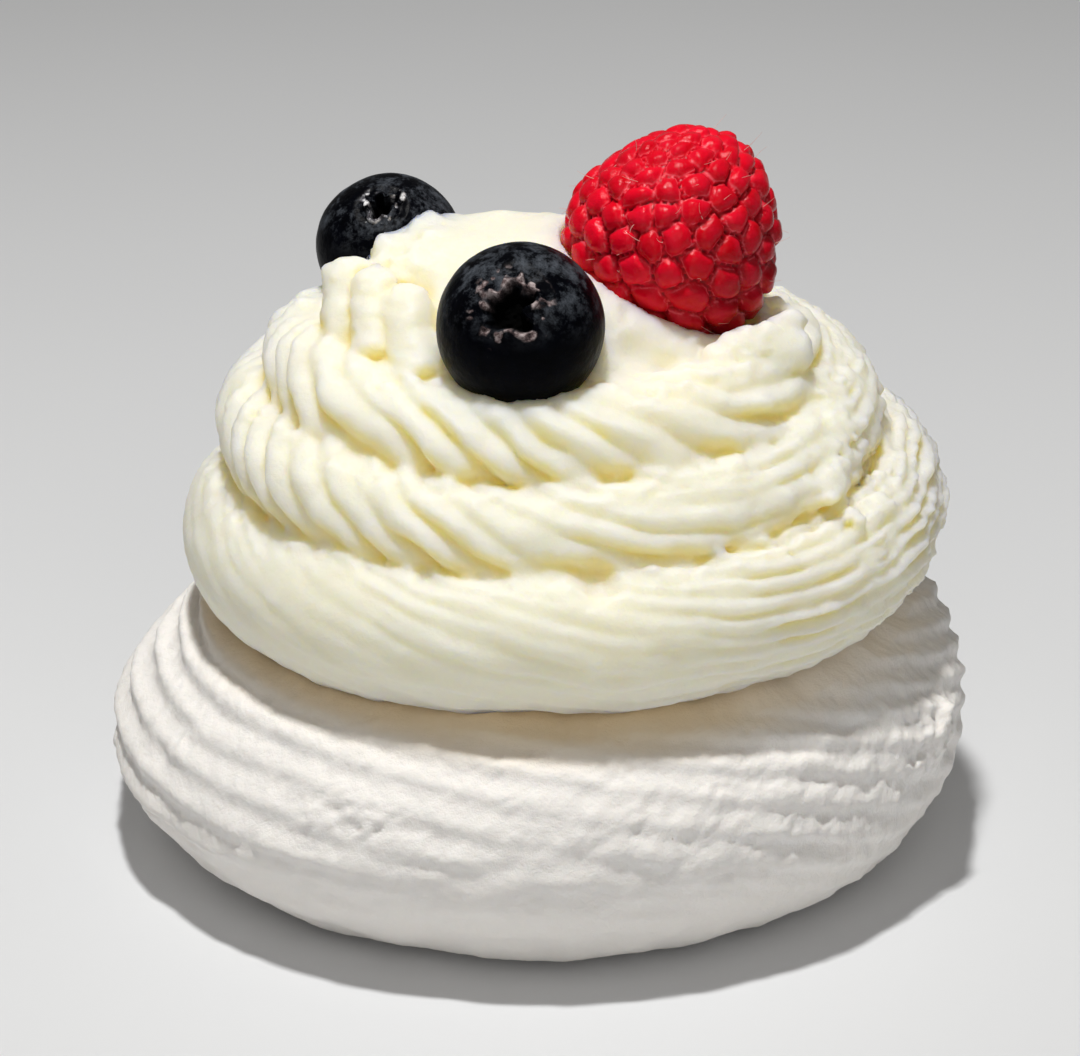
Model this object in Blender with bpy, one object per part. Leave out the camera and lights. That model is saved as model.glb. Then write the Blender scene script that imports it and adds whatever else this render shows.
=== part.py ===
"""Small pavlova: a piped meringue base, a piped cream swirl and three berries.

Five closed bodies that stand on z = 0. Lengths are named in millimetres and
turned into metres when a body's points are made.
"""
import math

import bmesh
import bpy
from mathutils import Matrix, Vector

MM = 0.001
TURN = 2.0 * math.pi

# Clearance left between bodies that touch, and the cutters' extra size.
GAP = 0.3
SOCKET_GAP = 0.4
FLOOR_ALLOWANCE = 0.25

# Meringue: (radius, height) of the plain profile, from the foot to the crown.
FOOT_RADIUS = 27.0
MERINGUE_PROFILE = (
    (FOOT_RADIUS, 0.0), (31.2, 1.6), (34.2, 4.4), (36.0, 8.0), (36.1, 11.0),
    (34.9, 14.4), (33.1, 17.2), (30.8, 19.6), (27.6, 21.6), (20.0, 23.2), (8.0, 23.8),
)
PROFILE_STEPS = 16
MERINGUE_AROUND = 128
MERINGUE_ROWS = 84
MERINGUE_LEAN = 2.2
LEAN_START = 9.0
LEAN_END = 19.0

# Piped ridges of the meringue: pitch along the profile, depth, and how many
# ridge pitches one line drops while it runs once round the base.
RIDGE_PITCH = 2.65
RIDGE_DROP = 12
RIDGE_DEPTH = 0.40
RIDGE_DEPTH_LESS = 0.42
RIDGE_STEEPEST = math.radians(345.0)
# The ridges die out below, higher up at the front than at the right.
RIDGE_FADE = 10.0
RIDGE_FADE_SWING = 5.5
RIDGE_FADE_HIGHEST = math.radians(235.0)
RIDGE_FADE_LENGTH = 3.0

# Cream rope: one row every quarter turn, from the start at the back (90 deg).
# (rope centre radius, rope centre height, rope radius, teeth, ridge depth)
ROPE = (
    (26.0, 25.3, 5.8, 8.0, 0.10),
    (25.9, 26.2, 6.4, 8.0, 0.10),
    (25.2, 27.4, 6.3, 9.0, 0.12),
    (25.5, 29.9, 6.7, 10.0, 0.35),
    (24.2, 32.4, 5.8, 9.0, 0.40),
    (23.1, 35.3, 5.0, 7.0, 0.50),
    (22.3, 34.3, 4.8, 7.0, 0.45),
    (22.6, 37.4, 5.5, 9.0, 0.30),
    (20.2, 38.6, 4.9, 8.0, 0.45),
    (18.7, 41.1, 4.6, 7.0, 0.50),
    (17.9, 40.5, 4.8, 7.0, 0.55),
    (19.2, 41.0, 4.9, 9.0, 0.35),
    (15.4, 41.2, 4.5, 8.0, 0.45),
    (14.2, 44.4, 2.9, 5.0, 0.20),
    (10.8, 44.6, 4.2, 4.0, 0.15),
    (9.0, 42.2, 4.0, 4.0, 0.10),
)
ROPE_START = math.radians(90.0)
ROPE_TURNS = 4
ROPE_END_TAPER = math.radians(22.0)
ROPE_END_SHARE = 0.15
# Slope of the ridges across the rope: small on the right, steep on the left.
TWIST_MEAN = 0.46
TWIST_SWING = 0.42
TWIST_STEEPEST = math.radians(190.0)

CREAM_AROUND = 200
CREAM_ROWS = 54
CREAM_FAN = 260
UNDERSIDE_STEPS = 8
CREAM_EYE = 32.0
CREAM_EYE_RIM = 7.0
CREAM_LOWEST = math.radians(-32.0)
CREAM_SHIFT_LOW = 2.2
CREAM_SHIFT_HIGH = 0.4
SHIFT_START = 28.0
SHIFT_END = 44.0

# Smooth mass of cream inside the rope and the flat cap on it: centre, half sizes.
CREAM_MASS = (
    ((1.5, 0.0, 33.0), (20.0, 20.0, 20.0)),
    ((0.5, 0.0, 38.5), (13.0, 13.0, 13.0)),
    ((6.0, 0.0, 41.2), (6.5, 6.5, 6.5)),
    ((-5.2, 2.2, 46.6), (10.4, 8.5, 5.8)),
)
# Round bars of cream: the saddle between the berries, the bank beside the
# raspberry and three fingers over the left shoulder. Start, end, radius.
CREAM_BARS = (
    ((2.5, -3.5, 46.6), (13.0, -9.0, 42.0), 4.0),
    ((13.0, -8.5, 43.2), (18.4, -3.0, 43.3), 3.2),
    ((14.4, -10.9, 45.4), (20.9, -6.6, 46.6), 1.3),
    ((15.2, -11.0, 44.6), (20.6, -7.8, 44.9), 2.0),
    ((-15.6, -2.2, 49.0), (-15.7, -5.5, 45.5), 2.15),
    ((-13.3, -5.4, 49.2), (-13.0, -9.2, 45.6), 2.05),
    ((-10.6, -7.9, 48.7), (-9.6, -12.2, 44.8), 2.15),
)
BAR_BEADS = 5

# Berries: centre, and the way their axis points.
FRONT_BERRY = (-1.3, -14.2, 49.3)
FRONT_BERRY_RADIUS = 6.75
FRONT_BERRY_HEIGHT = 6.15
FRONT_BERRY_FACING = (-10.0, 35.0)
BACK_BERRY = (-12.6, 8.2, 48.7)
BACK_BERRY_RADIUS = 6.2
BACK_BERRY_HEIGHT = 5.6
BACK_BERRY_FACING = (-10.0, 55.0)
BERRY_AROUND = 20
BERRY_ROWS = 8
CROWN_RADIUS = 2.9
CROWN_RISE = 0.55
CROWN_HOLE = 1.5
CROWN_DEPTH = 1.2
CROWN_POINTS = 5

# Raspberry: sizes over the drupelets, and a bend that carries its top and
# foot to the right, growing with the square of the distance along a leaning line.
RASPBERRY = (11.0, -1.6, 52.6)
RASPBERRY_RADIUS = 9.0
RASPBERRY_HALF_LENGTH = 9.3
RASPBERRY_FACING = (-35.0, 74.0)
RASPBERRY_BEND = 0.022
BEND_LEAN = math.radians(22.1)
DRUPELET_PITCH = 3.6
DRUPELET_RADIUS = 1.95
DRUPELET_SHRINK = 0.45
DRUPELET_STEP = 0.86
DRUPELET_GROWN = math.radians(120.0)
DRUPELET_LOWEST = math.radians(168.0)
DRUPELET_DETAIL = 2
REMESH_STEP = 0.40

# Share of the triangles that each finished body keeps.
MERINGUE_KEEP = 0.144
CREAM_KEEP = 0.160
RASPBERRY_KEEP = 0.092


def clear_scene():
    """Remove everything the new file starts with."""
    for item in list(bpy.data.objects):
        bpy.data.objects.remove(item, do_unlink=True)


def blend(low, high, value):
    """Smooth 0 to 1 step of value between low and high."""
    part = min(max((value - low) / (high - low), 0.0), 1.0)
    return part * part * (3.0 - 2.0 * part)


def smooth_row(rows, place):
    """Row at a fractional place, with a Catmull-Rom curve through the rows."""
    last = len(rows) - 1
    place = min(max(place, 0.0), float(last))
    index = min(int(place), last - 1)
    t = place - index
    before = rows[max(index - 1, 0)]
    start = rows[index]
    end = rows[index + 1]
    after = rows[min(index + 2, last)]
    result = []
    for a, b, c, d in zip(before, start, end, after):
        result.append(0.5 * (2.0 * b + (c - a) * t + (2.0 * a - 5.0 * b + 4.0 * c - d) * t * t
                             + (3.0 * b - a - 3.0 * c + d) * t * t * t))
    return result


def resample(points, count):
    """Points at equal steps along an open line of 2-D points."""
    lengths = [0.0]
    for start, end in zip(points, points[1:]):
        lengths.append(lengths[-1] + math.dist(start, end))
    result = []
    index = 0
    for step in range(count):
        target = lengths[-1] * step / (count - 1)
        while index < len(points) - 2 and lengths[index + 1] < target:
            index += 1
        span = max(lengths[index + 1] - lengths[index], 1e-9)
        t = min(max((target - lengths[index]) / span, 0.0), 1.0)
        start = points[index]
        end = points[index + 1]
        result.append((start[0] + (end[0] - start[0]) * t, start[1] + (end[1] - start[1]) * t))
    return result


def ridge(phase):
    """Rounded ridge with a narrow groove, from -1 in the groove to 1."""
    return 2.0 * math.sqrt(math.cos(phase * 0.5) ** 2 + 0.02) - 1.0


def rings_to_object(name, rings, low_pole, high_pole, material):
    """Closed body from rings of points in millimetres, with a point at each end."""
    work = bmesh.new()
    rows = [[work.verts.new(Vector(point) * MM) for point in ring] for ring in rings]
    low = work.verts.new(Vector(low_pole) * MM)
    high = work.verts.new(Vector(high_pole) * MM)
    count = len(rings[0])
    for index in range(count):
        after = (index + 1) % count
        work.faces.new((low, rows[0][after], rows[0][index]))
        work.faces.new((high, rows[-1][index], rows[-1][after]))
        for lower, upper in zip(rows, rows[1:]):
            work.faces.new((lower[index], lower[after], upper[after], upper[index]))
    for face in work.faces:
        face.smooth = True
    mesh = bpy.data.meshes.new(name)
    work.to_mesh(mesh)
    work.free()
    mesh.materials.append(material)
    body = bpy.data.objects.new(name, mesh)
    bpy.context.scene.collection.objects.link(body)
    return body


def thin_out(body, keep):
    """Merge the triangles of the flatter places, so that the ridges keep theirs."""
    thinner = body.modifiers.new("thin_out", "DECIMATE")
    thinner.decimate_type = "COLLAPSE"
    thinner.ratio = keep
    thinner.use_collapse_triangulate = True


def make_material(name, colour, roughness):
    """Plain Principled material."""
    material = bpy.data.materials.new(name)
    material.use_nodes = True
    shader = material.node_tree.nodes["Principled BSDF"]
    shader.inputs["Base Color"].default_value = (*colour, 1.0)
    shader.inputs["Roughness"].default_value = roughness
    shader.inputs["Metallic"].default_value = 0.0
    return material


def meringue_material():
    return make_material("meringue_crust", (0.86, 0.84, 0.81), 0.85)


def cream_material():
    return make_material("whipped_cream", (0.93, 0.89, 0.72), 0.45)


def raspberry_material():
    return make_material("raspberry_flesh", (0.55, 0.01, 0.04), 0.4)


def blueberry_material():
    return make_material("blueberry_skin", (0.012, 0.015, 0.03), 0.35)


def ridge_fall(angle):
    """Share of a whole turn's drop that a ridge line has lost at this angle."""
    turned = angle - RIDGE_STEEPEST
    return (1.5 * turned + 2.0 * math.sin(turned) + 0.25 * math.sin(2.0 * turned)) / (3.0 * math.pi)


def dense_profile():
    """Close points along the meringue's plain profile."""
    steps = PROFILE_STEPS * (len(MERINGUE_PROFILE) - 1)
    return [smooth_row(MERINGUE_PROFILE, step / PROFILE_STEPS) for step in range(steps + 1)]


def crown_height(radius, profile):
    """Height of the meringue's plain upper face at this distance from its axis."""
    upper = [point for point in profile if point[1] > LEAN_END]
    for (outer, low), (inner, high) in zip(upper, upper[1:]):
        if inner <= radius <= outer:
            return low + (high - low) * (outer - radius) / max(outer - inner, 1e-9)
    return upper[-1][1] if radius < upper[-1][0] else 0.0


def cream_floor(radius, profile):
    """Lowest height of the cream here, clear of the meringue and of its ridges."""
    allowance = GAP + FLOOR_ALLOWANCE + RIDGE_DEPTH * blend(22.0, 27.0, radius)
    return crown_height(radius, profile) + allowance


def meringue_lean(height):
    """Sideways shift of the meringue's rings, which grows to the top."""
    return MERINGUE_LEAN * blend(LEAN_START, LEAN_END, height)


def make_meringue():
    """Domed base with piped ridges that run level, then fall away to the right."""
    profile = resample(dense_profile(), MERINGUE_ROWS)
    rings = []
    travelled = 0.0
    for row, (radius, height) in enumerate(profile):
        if row:
            travelled += math.dist(profile[row - 1], profile[row])
        before = profile[max(row - 1, 0)]
        after = profile[min(row + 1, MERINGUE_ROWS - 1)]
        tangent = Vector((after[0] - before[0], after[1] - before[1])).normalized()
        ring = []
        for step in range(MERINGUE_AROUND):
            angle = TURN * step / MERINGUE_AROUND
            phase = TURN * (travelled / RIDGE_PITCH + RIDGE_DROP * ridge_fall(angle))
            right = 0.5 + 0.5 * math.cos(angle - RIDGE_STEEPEST)
            foot = RIDGE_FADE + RIDGE_FADE_SWING * math.cos(angle - RIDGE_FADE_HIGHEST)
            depth = RIDGE_DEPTH * (1.0 - RIDGE_DEPTH_LESS * right)
            depth *= blend(foot, foot + RIDGE_FADE_LENGTH, travelled) * blend(24.0, 28.0, radius)
            push = depth * (ridge(phase) - 0.4)
            across = radius + push * tangent.y
            up = height - push * tangent.x
            ring.append((meringue_lean(up) + across * math.cos(angle), across * math.sin(angle), up))
        rings.append(ring)
    top = MERINGUE_PROFILE[-1][1]
    body = rings_to_object("meringue", rings, (0.0, 0.0, 0.0), (MERINGUE_LEAN, 0.0, top), meringue_material())
    thin_out(body, MERINGUE_KEEP)
    return body


def rope_twist(angle):
    """Turn of the ridges round the rope up to this angle, in radians."""
    swing = math.sin(angle - TWIST_STEEPEST) - math.sin(ROPE_START - TWIST_STEEPEST)
    return TWIST_MEAN * (angle - ROPE_START) + TWIST_SWING * swing


def rope_at(angle):
    """Rope centre radius and height, rope radius, teeth and ridge depth."""
    return smooth_row(ROPE, (angle - ROPE_START) / (TURN / 4.0))


def far_hit(centre_out, centre_up, radius, eye, way):
    """Distance from the eye to the far side of a circle, or None."""
    off_out = centre_out - eye[0]
    off_up = centre_up - eye[1]
    along = off_out * way[0] + off_up * way[1]
    aside = off_out * off_out + off_up * off_up - along * along
    if aside > radius * radius:
        return None
    return along + math.sqrt(radius * radius - aside)


def cream_shift(height):
    """Sideways shift of the cream's axis at this height."""
    return CREAM_SHIFT_LOW + (CREAM_SHIFT_HIGH - CREAM_SHIFT_LOW) * blend(SHIFT_START, SHIFT_END, height)


def rope_reach(angle, way, eye):
    """Furthest rope surface in one direction of the fan."""
    reach = 0.0
    for turn in range(ROPE_TURNS):
        place = angle + TURN * turn
        if place > ROPE_START + (len(ROPE) - 1) * TURN / 4.0:
            continue
        out, up, radius, teeth, depth = rope_at(place)
        radius *= max(math.sqrt(min((place - ROPE_START) / ROPE_END_TAPER, 1.0)), ROPE_END_SHARE)
        hit = far_hit(out, up, radius, eye, way)
        if hit is None:
            continue
        side = math.atan2(eye[1] + hit * way[1] - up, eye[0] + hit * way[0] - out)
        slope = rope_twist(place) * out / radius
        wavy = radius + depth * (ridge(teeth * (side + slope)) - 0.3)
        hit = far_hit(out, up, wavy, eye, way) or hit
        reach = max(reach, hit)
    return reach


def cream_lumps():
    """Every smooth lump of cream: centre and half sizes."""
    lumps = [(Vector(centre), Vector(sizes)) for centre, sizes in CREAM_MASS]
    for start, end, radius in CREAM_BARS:
        for bead in range(BAR_BEADS):
            centre = Vector(start).lerp(Vector(end), bead / (BAR_BEADS - 1))
            lumps.append((centre, Vector((radius, radius, radius))))
    return lumps


def lump_reach(angle, way, eye, lumps):
    """Furthest surface of the smooth lumps in one direction."""
    ray = Vector((way[0] * math.cos(angle), way[0] * math.sin(angle), way[1]))
    start = Vector((cream_shift(eye[1]) + eye[0] * math.cos(angle), eye[0] * math.sin(angle), eye[1]))
    reach = 0.0
    for centre, sizes in lumps:
        step = Vector((ray.x / sizes.x, ray.y / sizes.y, ray.z / sizes.z))
        away = centre - start
        away = Vector((away.x / sizes.x, away.y / sizes.y, away.z / sizes.z))
        along = away.dot(step) / step.length_squared
        aside = away.length_squared - along * along * step.length_squared
        if aside < 1.0:
            reach = max(reach, along + math.sqrt((1.0 - aside) / step.length_squared))
    return reach


def cream_line(angle, profile, lumps):
    """Outline of the cream from its underside to its top, in one direction."""
    line = []
    for step in range(CREAM_FAN):
        part = step / (CREAM_FAN - 1)
        lift = CREAM_LOWEST + (0.5 * math.pi - CREAM_LOWEST) * part
        eye = (CREAM_EYE_RIM * (1.0 - blend(0.3, 1.0, part)), CREAM_EYE)
        way = (math.cos(lift), math.sin(lift))
        reach = max(rope_reach(angle, way, eye), lump_reach(angle, way, eye, lumps))
        out = eye[0] + reach * way[0]
        up = eye[1] + reach * way[1]
        line.append((max(out, 0.01), max(up, cream_floor(out, profile))))
    inner = [line[0][0] * step / UNDERSIDE_STEPS for step in range(2, UNDERSIDE_STEPS)]
    return [(out, cream_floor(out, profile)) for out in inner] + line


def make_cream():
    """Swirl of piped cream: a star rope wound in four rising turns."""
    profile = dense_profile()
    lumps = cream_lumps()
    rings = [[] for _ in range(CREAM_ROWS)]
    for step in range(CREAM_AROUND):
        angle = TURN * step / CREAM_AROUND
        if angle < ROPE_START:
            angle += TURN
        line = resample(cream_line(angle, profile, lumps), CREAM_ROWS + 1)
        for ring, (out, up) in zip(rings, line):
            shift = cream_shift(up)
            ring.append((shift + out * math.cos(angle), out * math.sin(angle), up))
    top = max(point[2] for point in rings[-1])
    centre = Vector((0.0, 0.0))
    for point in rings[-1]:
        centre += Vector(point[:2]) / CREAM_AROUND
    low = (CREAM_SHIFT_LOW, 0.0, cream_floor(0.0, profile))
    body = rings_to_object("whipped_cream", rings, low, (centre.x, centre.y, top), cream_material())
    thin_out(body, CREAM_KEEP)
    return body


def facing_matrix(centre, facing):
    """Placement of a berry whose axis points to a bearing and a rise, in degrees."""
    bearing = math.radians(270.0 + facing[0])
    rise = math.radians(facing[1])
    axis = Vector((math.cos(rise) * math.cos(bearing), math.cos(rise) * math.sin(bearing), math.sin(rise)))
    turn = axis.to_track_quat("Z", "Y").to_matrix().to_4x4()
    return Matrix.Translation(Vector(centre)) @ turn


def place_points(rings, poles, matrix):
    """Rings and end points moved by a placement."""
    moved = [[matrix @ Vector(point) for point in ring] for ring in rings]
    return moved, [matrix @ Vector(point) for point in poles]


def berry_outline(radius, half_height):
    """(distance from the axis, height) from the stalk end to the crown's floor."""
    line = []
    last = math.asin(CROWN_RADIUS / radius)
    for row in range(1, BERRY_ROWS + 1):
        turned = math.pi - (math.pi - last) * row / BERRY_ROWS
        line.append((radius * math.sin(turned), half_height * math.cos(turned)))
    shoulder = line[-1][1]
    line.append((CROWN_RADIUS * 0.86, shoulder + CROWN_RISE))
    line.append((CROWN_HOLE, shoulder + 0.1))
    line.append((CROWN_HOLE * 0.8, shoulder - CROWN_DEPTH))
    return line


def make_blueberry(name, centre, radius, half_height, facing):
    """Flattened round berry with a five-pointed crown round a small hollow."""
    outline = berry_outline(radius, half_height)
    rings = []
    for row, (out, up) in enumerate(outline):
        ring = []
        for step in range(BERRY_AROUND):
            angle = TURN * step / BERRY_AROUND
            point = math.cos(CROWN_POINTS * angle) if row == BERRY_ROWS else 0.0
            wide = out * (1.0 + 0.10 * point)
            ring.append((wide * math.cos(angle), wide * math.sin(angle), up + 0.25 * point))
        rings.append(ring)
    poles = [(0.0, 0.0, -half_height), (0.0, 0.0, outline[-1][1])]
    rings, poles = place_points(rings, poles, facing_matrix(centre, facing))
    return rings_to_object(name, rings, poles[0], poles[1], blueberry_material())


def drupelet_places():
    """Centre and size of each drupelet, row by row from the tip down."""
    places = []
    turned = 0.0
    row = 0
    while turned < DRUPELET_LOWEST:
        size = 1.0 - DRUPELET_SHRINK * (1.0 - min(turned / DRUPELET_GROWN, 1.0))
        count = 1
        if row:
            count = max(round(TURN * RASPBERRY_RADIUS * math.sin(turned) / (DRUPELET_PITCH * size)), 3)
        out = (RASPBERRY_RADIUS - DRUPELET_RADIUS * size) * math.sin(turned)
        up = (RASPBERRY_HALF_LENGTH - DRUPELET_RADIUS * size) * math.cos(turned)
        for step in range(count):
            angle = TURN * (step + 0.5 * (row % 2)) / count
            places.append(((out * math.cos(angle), out * math.sin(angle), up), size))
        turned += DRUPELET_STEP * DRUPELET_PITCH * size / RASPBERRY_RADIUS
        row += 1
    return places


def place_raspberry(work, sizes):
    """Stretch a shape made at the origin, put it on the cream and bend it."""
    work.transform(facing_matrix(RASPBERRY, RASPBERRY_FACING) @ Matrix.Diagonal((*sizes, 1.0)))
    for vert in work.verts:
        along = (vert.co.z - RASPBERRY[2]) * math.cos(BEND_LEAN)
        along += (vert.co.y - RASPBERRY[1]) * math.sin(BEND_LEAN)
        vert.co.x += RASPBERRY_BEND * along * along
    work.transform(Matrix.Scale(MM, 4))


def make_raspberry():
    """Blunt berry built up from rounded drupelets over a solid heart."""
    work = bmesh.new()
    heart = bmesh.ops.create_icosphere(work, subdivisions=3, radius=1.0)
    wide = RASPBERRY_RADIUS - DRUPELET_RADIUS
    tall = RASPBERRY_HALF_LENGTH - DRUPELET_RADIUS
    bmesh.ops.scale(work, vec=(wide, wide, tall), verts=heart["verts"])
    for centre, size in drupelet_places():
        ball = bmesh.ops.create_icosphere(work, subdivisions=DRUPELET_DETAIL, radius=DRUPELET_RADIUS * size)
        bmesh.ops.translate(work, vec=Vector(centre), verts=ball["verts"])
    place_raspberry(work, (1.0, 1.0, 1.0))
    mesh = bpy.data.meshes.new("raspberry")
    work.to_mesh(mesh)
    work.free()
    mesh.materials.append(raspberry_material())
    body = bpy.data.objects.new("raspberry", mesh)
    bpy.context.scene.collection.objects.link(body)
    skin = body.modifiers.new("one_skin", "REMESH")
    skin.mode = "VOXEL"
    skin.voxel_size = REMESH_STEP * MM
    skin.use_smooth_shade = True
    thin_out(body, RASPBERRY_KEEP)
    return body


def add_cutter(name, work):
    """Wire shape that hollows another body and isn't itself part of the pavlova."""
    mesh = bpy.data.meshes.new(name)
    work.to_mesh(mesh)
    work.free()
    cutter = bpy.data.objects.new(name, mesh)
    bpy.context.scene.collection.objects.link(cutter)
    cutter.hide_render = True
    cutter.display_type = "WIRE"
    return cutter


def berry_cutter(name, centre, facing, radius, half_height):
    """Cutter a little larger than a blueberry."""
    work = bmesh.new()
    bmesh.ops.create_icosphere(work, subdivisions=3, radius=1.0)
    sizes = Matrix.Diagonal((radius + SOCKET_GAP, radius + SOCKET_GAP, half_height + SOCKET_GAP, 1.0))
    work.transform(Matrix.Scale(MM, 4) @ facing_matrix(centre, facing) @ sizes)
    return add_cutter(name, work)


def raspberry_cutter():
    """Cutter a little larger than the raspberry, with the same bend."""
    work = bmesh.new()
    bmesh.ops.create_icosphere(work, subdivisions=3, radius=1.0)
    wide = RASPBERRY_RADIUS + SOCKET_GAP
    place_raspberry(work, (wide, wide, RASPBERRY_HALF_LENGTH + SOCKET_GAP))
    return add_cutter("socket_raspberry", work)


def cut_socket(cream, cutter):
    """Hollow in the cream where a berry sits."""
    cut = cream.modifiers.new(cutter.name, "BOOLEAN")
    cut.operation = "DIFFERENCE"
    cut.solver = "EXACT"
    cut.object = cutter


def main():
    clear_scene()
    make_meringue()
    cream = make_cream()
    make_raspberry()
    make_blueberry("blueberry_front", FRONT_BERRY, FRONT_BERRY_RADIUS, FRONT_BERRY_HEIGHT, FRONT_BERRY_FACING)
    make_blueberry("blueberry_back", BACK_BERRY, BACK_BERRY_RADIUS, BACK_BERRY_HEIGHT, BACK_BERRY_FACING)
    cut_socket(cream, berry_cutter("socket_front", FRONT_BERRY, FRONT_BERRY_FACING, FRONT_BERRY_RADIUS,
                                   FRONT_BERRY_HEIGHT + CROWN_RISE))
    cut_socket(cream, berry_cutter("socket_back", BACK_BERRY, BACK_BERRY_FACING, BACK_BERRY_RADIUS,
                                   BACK_BERRY_HEIGHT + CROWN_RISE))
    cut_socket(cream, raspberry_cutter())


main()
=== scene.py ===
"""Looks of the small pavlova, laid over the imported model.

Lengths are in millimetres until a mesh is made, and in metres in the materials, lights and floor.
A bearing is the angle round the vertical axis, from +X towards +Y.
"""
import math

import bmesh
import bpy
import numpy as np
from mathutils import Matrix, Vector

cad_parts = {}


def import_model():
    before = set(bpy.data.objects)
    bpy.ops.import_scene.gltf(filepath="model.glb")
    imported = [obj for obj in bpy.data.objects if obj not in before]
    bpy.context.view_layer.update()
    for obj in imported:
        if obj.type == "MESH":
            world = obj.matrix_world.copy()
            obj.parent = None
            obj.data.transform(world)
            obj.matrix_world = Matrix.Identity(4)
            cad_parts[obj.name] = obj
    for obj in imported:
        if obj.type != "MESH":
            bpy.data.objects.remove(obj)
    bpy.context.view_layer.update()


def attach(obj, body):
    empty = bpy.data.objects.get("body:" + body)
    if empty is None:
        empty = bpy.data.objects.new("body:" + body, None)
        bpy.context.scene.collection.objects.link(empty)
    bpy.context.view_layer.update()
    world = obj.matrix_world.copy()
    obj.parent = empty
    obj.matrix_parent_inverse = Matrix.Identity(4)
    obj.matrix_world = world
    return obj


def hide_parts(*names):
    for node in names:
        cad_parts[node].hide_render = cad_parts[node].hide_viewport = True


MM = 0.001
TURN = 2.0 * math.pi
# Points along each side of the noise's table.
LATTICE = 32

# Camera: distance, rise above the horizon, height of its aim, focal length and sensor width.
CAMERA_DISTANCE = 330.0
CAMERA_RISE = math.radians(22.1)
CAMERA_AIM = 30.0
CAMERA_LENS = 129.58
SENSOR_WIDTH = 36.0
# Lens shift, in shares of the image's width.
CAMERA_SHIFT_RIGHT = 1.0 / 360.0
CAMERA_SHIFT_UP = -11.0 / 270.0
# In metres: the camera's near limit, the height that the lights face, and half the floor's width.
CAMERA_CLIP = 0.01
LIGHT_AIM = 0.03
FLOOR_REACH = 2.5

# Meringue profile: (radius, height) from the foot's edge to the hidden crown.
PROFILE = (
    (27.0, 0.0), (31.2, 1.6), (34.2, 4.4), (36.0, 8.0), (36.1, 11.0),
    (34.9, 14.4), (33.1, 17.2), (30.8, 19.6), (27.6, 21.6), (20.0, 23.2), (8.0, 23.8),
)
PROFILE_STEPS = 16
# Radius that turns a bearing into a length, and the height where the upper face starts.
SIDE_RADIUS = 35.0
CROWN_START = 17.0
# Columns and rows of the mesh; the profile's last stretch, under the cream, has few.
MERINGUE_AROUND = 760
MERINGUE_ROWS = 122
HIDDEN_ROWS = 8
HIDDEN_RUN = 22.0
# The upper part leans to the right, more and more between these heights.
LEAN = 2.2
LEAN_START = 9.0
LEAN_END = 19.0
# Ridges: pitch, ridges crossed in a level turn, depth, and how uneven their two sides are.
RIDGE_PITCH = 2.65
RIDGE_DROP = 12
RIDGE_DEPTH = 0.39
RIDGE_SKEW = 0.20
# Where the ridges die out below: bearing in degrees, distance up the profile.
RIDGE_FOOT = (
    (0.0, 4.5), (60.0, 7.0), (120.0, 8.5), (180.0, 9.0), (217.0, 10.5), (241.0, 13.8),
    (270.0, 16.4), (295.0, 12.5), (315.0, 6.5), (340.0, 4.0),
)
# Bearings where the ridges fall fastest, where they are shallow, and where only the lower ones are.
RIDGE_STEEPEST = math.radians(345.0)
RIDGE_FAINTEST = math.radians(258.0)
RIDGE_SOFTEST = math.radians(308.0)
# Broken flakes on the side: bearing in degrees, height, reach round, reach up, amount.
FLAKES = (
    (241.5, 14.2, 5.5, 1.5, 0.8),
    (211.0, 14.0, 1.6, 1.2, 0.7),
    (334.0, 14.0, 4.0, 3.0, 1.0),
)
# A swelling of the side and two dents (below zero), given in the same way.
SWELLINGS = (
    (335.0, 13.8, 2.8, 2.2, 1.1),
    (268.0, 4.2, 4.5, 0.8, -0.35),
    (279.0, 4.8, 1.6, 0.7, -0.30),
)

# Cream rope, one row every eighth of a turn from its start at the back:
# centre radius, centre height, rope radius.
ROPE_START = math.radians(90.0)
ROPE = (
    (26.0, 25.3, 5.8), (26.0, 25.6, 6.1), (25.9, 26.2, 6.4), (25.6, 26.8, 6.35),
    (25.2, 27.4, 6.3), (25.3, 28.4, 6.5), (25.5, 29.9, 6.7), (25.0, 31.2, 6.3),
    (24.2, 32.4, 5.8), (23.4, 34.2, 5.3), (23.1, 35.3, 5.0), (22.8, 34.9, 5.0),
    (22.3, 34.3, 4.8), (22.4, 35.6, 5.1), (22.6, 37.4, 5.5), (21.8, 38.3, 5.3),
    (20.2, 38.6, 4.9), (19.0, 39.8, 4.6), (18.7, 41.1, 4.6), (18.4, 40.8, 4.7),
    (17.9, 40.5, 4.8), (18.6, 40.9, 4.9), (19.2, 41.0, 4.9), (17.4, 40.6, 4.7),
    (15.4, 41.2, 4.5), (14.4, 43.2, 3.9), (14.2, 44.4, 2.9), (12.6, 44.2, 3.2),
    (10.8, 44.6, 4.2), (9.7, 43.4, 4.2), (9.0, 42.2, 4.0),
)
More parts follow.
